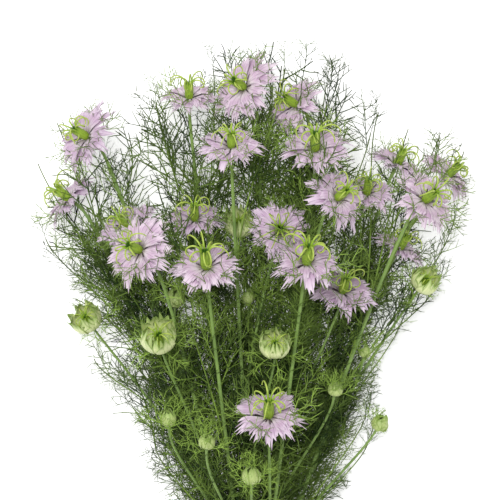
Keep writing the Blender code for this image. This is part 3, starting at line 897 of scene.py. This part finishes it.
def toothed(blank, dice, teeth, depth):
    """For each point of a sepal: how far along and across it is, its tooth's flick aside, and its pleat."""
    along, across = blank.points[:, 0], blank.points[:, 1] * 2.0
    column = np.rint((across + 1.0) * teeth).astype(int)
    ends, flicks = np.empty(2 * teeth + 1), np.zeros(2 * teeth + 1)
    for k in range(2 * teeth + 1):
        middle = 1.0 - abs(k / teeth - 1.0)
        ends[k] = 0.74 + 0.31 * middle**0.8 + dice.uniform(-0.06, 0.06)
        if k % 2 == 0:
            ends[k] -= depth * dice.uniform(0.35, 1.3)
        else:
            flicks[k] = dice.uniform(-1.0, 1.0)
    starts = 1.0 - depth * 1.6
    fringe = np.clip((along - starts) / (1.0 - starts), 0.0, 1.0)
    stretched = np.where(along > starts, starts + fringe * (ends[column] - starts), along)
    return stretched, across, flicks[column] * fringe**2, column % 2


def spread_sepal(blank, dice, radius, teeth, level, rise, droop):
    """One sepal of an open flower: its points, with its foot at the axis and its teeth at the radius."""
    along, across, flick, pleat = toothed(blank, dice, teeth, 0.24)
    wide = np.interp(along, WIDTH_STEPS, HALF_WIDTHS) * radius * dice.uniform(0.85, 1.15)
    twist = dice.uniform(-0.45, 0.45)
    ripple = dice.uniform(0.0, math.tau)
    reach = radius * dice.uniform(1.02, 1.24)
    out = SEPAL_START + along * (reach - SEPAL_START)
    side = across * wide + dice.uniform(-0.12, 0.12) * radius * along**2 + flick * 0.05 * radius
    lift = level + radius * (rise * along + 0.14 * np.sin(math.pi * np.clip(along, 0, 1)) - droop * along**3)
    lift = lift + wide * (0.30 * across**2 + twist * across) * along
    ripples = 0.02 * np.sin(across * 5.0 + ripple) * along**2
    lift = lift + radius * (ripples + 0.07 * flick + 0.014 * pleat * along)
    return np.column_stack((out, side, lift))


def cupped_sepal(blank, dice, width, teeth, profile, spare, half_angle):
    """One sepal of a bud, wrapped round the bud's own profile."""
    along, across, flick, _ = toothed(blank, dice, teeth, 0.30)
    steps, radii, heights = profile
    out = np.interp(along, steps, radii) * width + spare
    lift = np.interp(along, steps, heights) * width
    narrowing = np.interp(along, (0.0, 0.25, 0.6, 1.0), (0.9, 1.0, 0.95, 0.62))
    turn = across * half_angle * narrowing + dice.uniform(-0.12, 0.12) * along
    lift = lift * dice.uniform(0.85, 1.06)
    out = out * (1.0 + 0.03 * np.cos(across * 4.0 + dice.uniform(0.0, 6.0)) * along) + 0.16 * width * flick
    return np.column_stack((out * np.cos(turn), out * np.sin(turn), lift))


def turned_about_axis(points, turn):
    return placed(points, Matrix.Rotation(turn, 4, "Z"))


# --- Operators ---


class GrowStems(bpy.types.Operator):
    """Grow each stem with its branches, from its cut end to its flowers"""

    bl_idname = "bunch.grow_stems"
    bl_label = "Stems"

    def execute(self, context):
        material = stem_look(context.scene.bunch_stem)
        for number, lines in stem_lines().items():
            routes = []
            for head, line in lines:
                first, last = MAIN_RADII if head.fork is None else BRANCH_RADII
                steps = len(line) - 1
                shares = [(first + (last - first) * i / steps) / MAIN_RADII[0] for i in range(steps + 1)]
                if head.fork is not None:
                    shares[:3] = [share * swell for share, swell in zip(shares, FORK_SWELL)]
                shares[-1] = shares[-2] = shares[-1] * HEAD_SWELL
                routes.append(list(zip(line, shares)))
            stem = tubes(f"grown_stem_{number:02d}", routes, MAIN_RADII[0] * TUBE_SHARE, 9)
            finish_piece(stem, material, [f"stem_{number:02d}"])
        return {"FINISHED"}


class GrowLeaves(bpy.types.Operator):
    """Grow forked thread leaves all along the stems above the band, and on leafy shoots"""

    bl_idname = "bunch.grow_leaves"
    bl_label = "Thread leaves"

    def execute(self, context):
        leaf = context.scene.bunch_leaf
        soft = frond_shapes(10, 14, leaf.thread, leaf.span, SOFT_LEAF)
        wiry = frond_shapes(40, 14, leaf.thread * 1.5, leaf.span * 1.2, WIRY_LEAF)
        shapes = soft, wiry
        material = thread_look("thread_leaf", leaf, 0.0)
        heads = head_faces()
        for number, lines in stem_lines().items():
            dice = random.Random(500 + number)
            copies = []
            for head, line in lines:
                bare = BARE_ENDS[head.kind]
                leaf_out(copies, shapes, line, bare, leaf.spacing, dice, heads, LEAST_SHARE)
            for stem, fork, tip in SHOOTS:
                if stem == number:
                    line = shoot_line(lines[0][1], fork, at(tip))
                    route = [(point, 1.0 - 0.4 * i / len(line)) for i, point in enumerate(line)]
                    shape = shape_of(tubes("shoot", [route], leaf.thread * 1.5, 5))
                    copies.append((shape, off_floor(shape.points), 0.5))
                    leaf_out(copies, shapes, line, 0.0, leaf.spacing * 1.7, dice, heads, 1.0)
                    matrix = leaning(line[-1], (line[-1] - line[-2]).normalized(), 0.0, 0.2, 1.0)
                    set_out(copies, wiry[stem], matrix, 0.15)
            finish_piece(mesh_from(f"leaves_{number:02d}", copies), material)
        return {"FINISHED"}


class GrowBracts(bpy.types.Operator):
    """Grow the ruff of thread bracts behind each flower and round each bud"""

    bl_idname = "bunch.grow_bracts"
    bl_label = "Bracts"

    def execute(self, context):
        leaf = context.scene.bunch_leaf
        shapes = frond_shapes(90, 6, leaf.thread * 0.9, leaf.bract, BRACT)
        material = thread_look("thread_bract", leaf, 0.35)
        for head in HEADS:
            dice = random.Random(head.number * 7 + len(head.kind))
            end, _, face = neck_of(head)
            copies = []
            count, least, greatest, size = RUFFS[head.kind]
            if head.kind == "flower":
                size *= head.width / RUFF_WIDTH
            for k in range(count):
                turn = math.tau * (k + dice.uniform(-0.25, 0.25)) / count
                root = end - face * (0.002 if head.kind == "flower" else 0.003)
                angle = dice.uniform(least, greatest)
                matrix = leaning(root, face, turn, angle, size * dice.uniform(0.9, 1.12))
                shade = dice.uniform(0.0, 0.35) if head.kind == "flower" else dice.uniform(0.4, 0.8)
                set_out(copies, dice.choice(shapes), matrix, shade)
            if copies:
                finish_piece(mesh_from(f"bracts_{head.kind}_{head.number:02d}", copies), material)
        return {"FINISHED"}


class GrowSepals(bpy.types.Operator):
    """Grow two rings of toothed sepals in each flower"""

    bl_idname = "bunch.grow_sepals"
    bl_label = "Sepals"

    def execute(self, context):
        flower = context.scene.bunch_flower
        material = sepal_look(flower)
        teeth = 6
        blank = sepal_blank(teeth, 9)
        for head in heads_of("flower"):
            dice = random.Random(head.number)
            radius = head.width / 2 * SPREAD.get(head.number, 1.0)
            matrix = facing(head, dice.uniform(0.0, math.tau))
            shade = dice.random()
            copies = []
            rings = ((flower.outer, 1.0, 0.0, 0.03, 0.12), (flower.inner, 0.84, 0.0006, 0.16, 0.10))
            for count, size, level, rise, droop in rings:
                for k in range(count):
                    turn = math.tau * (k + 0.5 * (size < 1.0) + dice.uniform(-0.18, 0.18)) / count
                    points = spread_sepal(
                        blank,
                        dice,
                        radius * size,
                        teeth,
                        level + 0.0004 * (k % 3),
                        rise + dice.uniform(-0.09, 0.09),
                        droop + dice.uniform(-0.08, 0.10),
                    )
                    points = placed(turned_about_axis(points, turn), matrix)
                    copies.append((blank, off_floor(points), shade))
            sepals = mesh_from(f"flower_{head.number:02d}_sepals", copies)
            apply_modifier(sepals, "SOLIDIFY", thickness=flower.thickness, offset=0.0)
            finish_piece(sepals, material, [f"sepals_{head.number:02d}"])
        return {"FINISHED"}


class GrowStamens(bpy.types.Operator):
    """Grow the dark ring of stamens round each pod's foot"""

    bl_idname = "bunch.grow_stamens"
    bl_label = "Stamens"

    def execute(self, context):
        dice = random.Random(3)
        routes = []
        for k in range(STAMENS):
            turn = math.tau * (k + dice.uniform(-0.3, 0.3)) / STAMENS
            out = Vector((math.cos(turn), math.sin(turn), 0.0))
            start = out * 0.0020 + Vector((0.0, 0.0, 0.0010))
            way = (out + Vector((0.0, 0.0, dice.uniform(0.2, 0.9)))).normalized()
            route = thread(start, way, dice.uniform(0.0028, 0.0060), out * 0.8, 3, 0.5, 0.4)
            end, ahead = way_along(route, 1.0)
            anther = [(end, 1.1), (end + ahead * 0.0010, 1.35), (end + ahead * 0.0019, 0.6)]
            routes.append(route[:-1] + anther)
        ring = shape_of(tubes("stamens", routes, 0.00085, 4))
        material = stamen_look(context.scene.bunch_flower)
        for head in heads_of("flower"):
            matrix = facing(head, head.number * 1.3)
            copies = [(ring, off_floor(placed(ring.points, matrix)), 0.5)]
            finish_piece(mesh_from(f"flower_{head.number:02d}_stamens", copies), material)
        return {"FINISHED"}


def carpel_routes(pod, dice, curl_low, curl_high):
    """A pod's carpels, side by side round its axis. Each narrows into a style that curls out and down."""
    routes = []
    up = Vector((0.0, 0.0, 1.0))
    for k in range(pod.carpels):
        turn = math.tau * (k + dice.uniform(-0.12, 0.12)) / pod.carpels
        out = Vector((math.cos(turn), math.sin(turn), 0.0))
        tall = pod.height * dice.uniform(0.92, 1.06)
        middle = pod.radius - pod.carpel / 2
        route = [(out * middle * aside + up * tall * height, share) for aside, height, share in CARPEL]
        point = route[-1][0]
        pitch = dice.uniform(1.05, 1.4)
        swerve = out.cross(up) * dice.uniform(-0.6, 0.6)
        curl = dice.uniform(curl_low, curl_high)
        steps = 12
        for i in range(1, steps + 1):
            share = i / steps
            angle = pitch - curl * share**1.3
            way = out * math.cos(angle) + up * math.sin(angle) + swerve * share
            point = point + way.normalized() * (pod.style / steps)
            route.append((point, 0.52 - 0.20 * share))
        routes.append(route)
    return routes


def carpel_shape(pod, dice, curl_low, curl_high):
    """A pod as arrays, with how far each point stands out of the grooves, from 0 to 1: the less it stands
    out, the more painted shade it gets.
    """
    shape = shape_of(tubes("carpels", carpel_routes(pod, dice, curl_low, curl_high), pod.carpel, 7))
    x, y, z = shape.points.T
    aside, heights, _ = np.array(CARPEL).T
    middle = np.interp(z / pod.height, heights, aside) * (pod.radius - pod.carpel / 2)
    outward = np.clip((np.hypot(x, y) - middle) / (pod.carpel / 2), 0.0, 1.0)
    return shape, np.where(z > pod.height * 0.95, 1.0, outward)


class GrowPods(bpy.types.Operator):
    """Grow the young pod of carpels with its curling styles in each flower"""

    bl_idname = "bunch.grow_pods"
    bl_label = "Young pods"

    def execute(self, context):
        pod = context.scene.bunch_pod
        shapes = [carpel_shape(pod, random.Random(40 + k), 2.6, 6.4) for k in range(6)]
        material = pod_look(pod)
        for head in heads_of("flower"):
            dice = random.Random(head.number + 60)
            size = head.width / 0.040 * dice.uniform(1.0, 1.12)
            matrix = facing(head, dice.uniform(0.0, math.tau)) @ Matrix.Scale(size, 4)
            shape, outward = shapes[head.number % 6]
            copies = [(shape, off_floor(placed(shape.points, matrix)), outward)]
            piece = mesh_from(f"flower_{head.number:02d}_pod", copies)
            finish_piece(piece, material, [f"seed_pod_{head.number:02d}"], smooth=80.0)
        return {"FINISHED"}


def wrapped_bud(name, head, count, profile, teeth, blank, dice):
    """A bud of sepals that wrap round each other in three layers."""
    copies = []
    matrix = facing(head, dice.uniform(0.0, math.tau))
    for k in range(count):
        turn = math.tau * (k * 0.5 + 0.25 * (k % 2) + dice.uniform(-0.05, 0.05)) / (count * 0.5)
        spare = -0.0007 * (k % 3)
        points = cupped_sepal(blank, dice, head.width, teeth, profile, spare, math.tau / count * 1.15)
        points[:, 0:2] *= 0.97
        copies.append((blank, placed(turned_about_axis(points, turn), matrix), dice.random()))
    return mesh_from(name, copies)


class GrowOpeningBuds(bpy.types.Operator):
    """Grow the large pale buds whose sepals are about to open, with the pod that shows inside"""

    bl_idname = "bunch.grow_opening_buds"
    bl_label = "Opening buds"

    def execute(self, context):
        bud, pod = context.scene.bunch_bud, context.scene.bunch_pod
        material, heart_material = bud_look("bud", bud, bud.pale), pod_look(pod)
        blank = sepal_blank(3, 12)
        heart, outward = carpel_shape(pod, random.Random(2), 3.0, 6.0)
        for head in heads_of("opening"):
            dice = random.Random(head.number + 200)
            name = f"open_bud_{head.number:02d}"
            piece = wrapped_bud(name, head, bud.sepals, OPENING_PROFILE, 3, blank, dice)
            apply_modifier(piece, "SOLIDIFY", thickness=bud.thickness, offset=0.0)
            finish_piece(piece, material, [f"opening_bud_{head.number:02d}"])
            matrix = facing(head) @ Matrix.Scale(head.width * 0.55 / pod.height, 4)
            copies = [(heart, placed(heart.points, matrix), outward)]
            finish_piece(mesh_from(f"{name}_heart", copies), heart_material)
        return {"FINISHED"}


class GrowClosedBuds(bpy.types.Operator):
    """Grow the small green buds that are still shut"""

    bl_idname = "bunch.grow_closed_buds"
    bl_label = "Closed buds"

    def execute(self, context):
        bud = context.scene.bunch_bud
        material = bud_look("shut_bud", bud, bud.shut)
        blank = sepal_blank(2, 10)
        for head in heads_of("closed"):
            dice = random.Random(head.number + 300)
            piece = wrapped_bud(f"closed_bud_{head.number:02d}", head, 7, CLOSED_PROFILE, 2, blank, dice)
            apply_modifier(piece, "SOLIDIFY", thickness=bud.shut_thickness, offset=0.0)
            finish_piece(piece, material)
        return {"FINISHED"}


class MakeBand(bpy.types.Operator):
    """Make the rubber band, in turns round the stems"""

    bl_idname = "bunch.make_band"
    bl_label = "Rubber band"

    def execute(self, context):
        band = context.scene.bunch_band
        low, high = BAND_BOX
        turns = []
        width = (high.y - low.y) / band.turns
        half_width, half_height = (high.x - low.x - band.wall) / 2, (high.z - low.z - band.wall) / 2
        oval = Matrix.Diagonal((half_width, half_height, 1.0, 1.0))
        lying = Matrix.Rotation(math.pi / 2, 4, "X")
        for k in range(band.turns):
            bpy.ops.object.select_all(action="DESELECT")
            tall = width - BAND_GAP
            bpy.ops.mesh.primitive_cylinder_add(vertices=96, radius=1.0, depth=tall, end_fill_type="NOTHING")
            turn = bpy.context.object
            spot = (BAND_MIDDLE.x, low.y + width * (k + 0.5), BAND_MIDDLE.z)
            turn.data.transform(Matrix.Translation(spot) @ lying @ oval)
            edit_all(face_outwards)
            apply_modifier(turn, "SOLIDIFY", thickness=band.wall, offset=0.0)
            apply_modifier(turn, "BEVEL", width=BAND_ROUNDING, segments=3, limit_method="ANGLE")
            turns.append(turn)
        select_only(*turns)
        bpy.ops.object.join()
        piece = bpy.context.object
        piece.name = "stretched_band"
        finish_piece(piece, band_look(band), ["rubber_band"], smooth=40.0)
        return {"FINISHED"}


class SetStage(bpy.types.Operator):
    """Set the pale floor, the soft lights and the camera that looks straight down"""

    bl_idname = "bunch.set_stage"
    bl_label = "Stage"

    def execute(self, context):
        stage = context.scene.bunch_stage
        bpy.ops.object.select_all(action="DESELECT")
        bpy.ops.mesh.primitive_plane_add(size=6.0)
        floor = bpy.context.object
        floor.name = "floor"
        white = (1.0, 1.0, 1.0, 1.0)
        pale = (*stage.floor, 1.0)
        glow = {"Emission_Color": white, "Emission_Strength": stage.glow}
        look = Look("floor", Base_Color=pale, Roughness=0.9, **glow)
        floor.data.materials.append(look.material)
        middle = BAND_MIDDLE + Vector((0.0, stage.ahead, 0.0))
        lens = bpy.data.cameras.new("camera")
        lens.sensor_width = 36.0
        lens.lens = lens.sensor_width * (stage.height - FLOWER_HEIGHT) / stage.width
        lens.clip_end = 20.0
        camera = bpy.data.objects.new("camera", lens)
        camera.location = (middle.x, middle.y, stage.height)
        context.scene.collection.objects.link(camera)
        context.scene.camera = camera
        bpy.ops.object.light_add(type="AREA", location=(middle.x - 0.35, middle.y + 0.45, 2.6))
        lamp = bpy.context.object
        lamp.data.size = 1.0
        lamp.data.energy = stage.lamp
        to_bunch = Vector((middle.x, middle.y, 0.05)) - lamp.location
        lamp.rotation_euler = to_bunch.to_track_quat("-Z", "Y").to_euler()
        world = bpy.data.worlds.new("studio")
        world.use_nodes = True
        sky = world.node_tree.nodes["Background"].inputs
        sky["Color"].default_value = white
        sky["Strength"].default_value = stage.sky
        context.scene.world = world
        context.scene.view_settings.view_transform = "Standard"
        return {"FINISHED"}


class BunchPanel(bpy.types.Panel):
    """A button for each step, over the settings that it uses"""

    bl_label = "Love-in-a-mist bunch"
    bl_idname = "VIEW3D_PT_bunch"
    bl_space_type = "VIEW_3D"
    bl_region_type = "UI"
    bl_category = "Bunch"

    def draw(self, context):
        for group in GROUPS:
            box = self.layout.box()
            for operator, its_group in STEPS:
                if its_group == group:
                    box.operator(operator.bl_idname)
            settings = getattr(context.scene, group)
            for name in settings.bl_rna.properties.keys():
                if name not in ("rna_type", "name"):
                    box.prop(settings, name)


STEPS = (
    (GrowStems, "bunch_stem"),
    (GrowLeaves, "bunch_leaf"),
    (GrowBracts, "bunch_leaf"),
    (GrowSepals, "bunch_flower"),
    (GrowStamens, "bunch_flower"),
    (GrowPods, "bunch_pod"),
    (GrowOpeningBuds, "bunch_bud"),
    (GrowClosedBuds, "bunch_bud"),
    (MakeBand, "bunch_band"),
    (SetStage, "bunch_stage"),
)
GROUPS = {
    "bunch_flower": FlowerSettings,
    "bunch_pod": PodSettings,
    "bunch_stem": StemSettings,
    "bunch_leaf": LeafSettings,
    "bunch_bud": BudSettings,
    "bunch_band": BandSettings,
    "bunch_stage": StageSettings,
}


def register():
    for name, group in GROUPS.items():
        bpy.utils.register_class(group)
        setattr(bpy.types.Scene, name, PointerProperty(type=group))
    for operator, _ in STEPS:
        bpy.utils.register_class(operator)
    bpy.utils.register_class(BunchPanel)


def unregister():
    bpy.utils.unregister_class(BunchPanel)
    for operator, _ in reversed(STEPS):
        bpy.utils.unregister_class(operator)
    for name, group in GROUPS.items():
        delattr(bpy.types.Scene, name)
        bpy.utils.unregister_class(group)


def main():
    register()
    bpy.ops.bunch.grow_stems()
    bpy.ops.bunch.grow_leaves()
    bpy.ops.bunch.grow_bracts()
    bpy.ops.bunch.grow_sepals()
    bpy.ops.bunch.grow_stamens()
    bpy.ops.bunch.grow_pods()
    bpy.ops.bunch.grow_opening_buds()
    bpy.ops.bunch.grow_closed_buds()
    bpy.ops.bunch.make_band()
    bpy.ops.bunch.set_stage()
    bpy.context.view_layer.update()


if __name__ == "__main__":
    main()
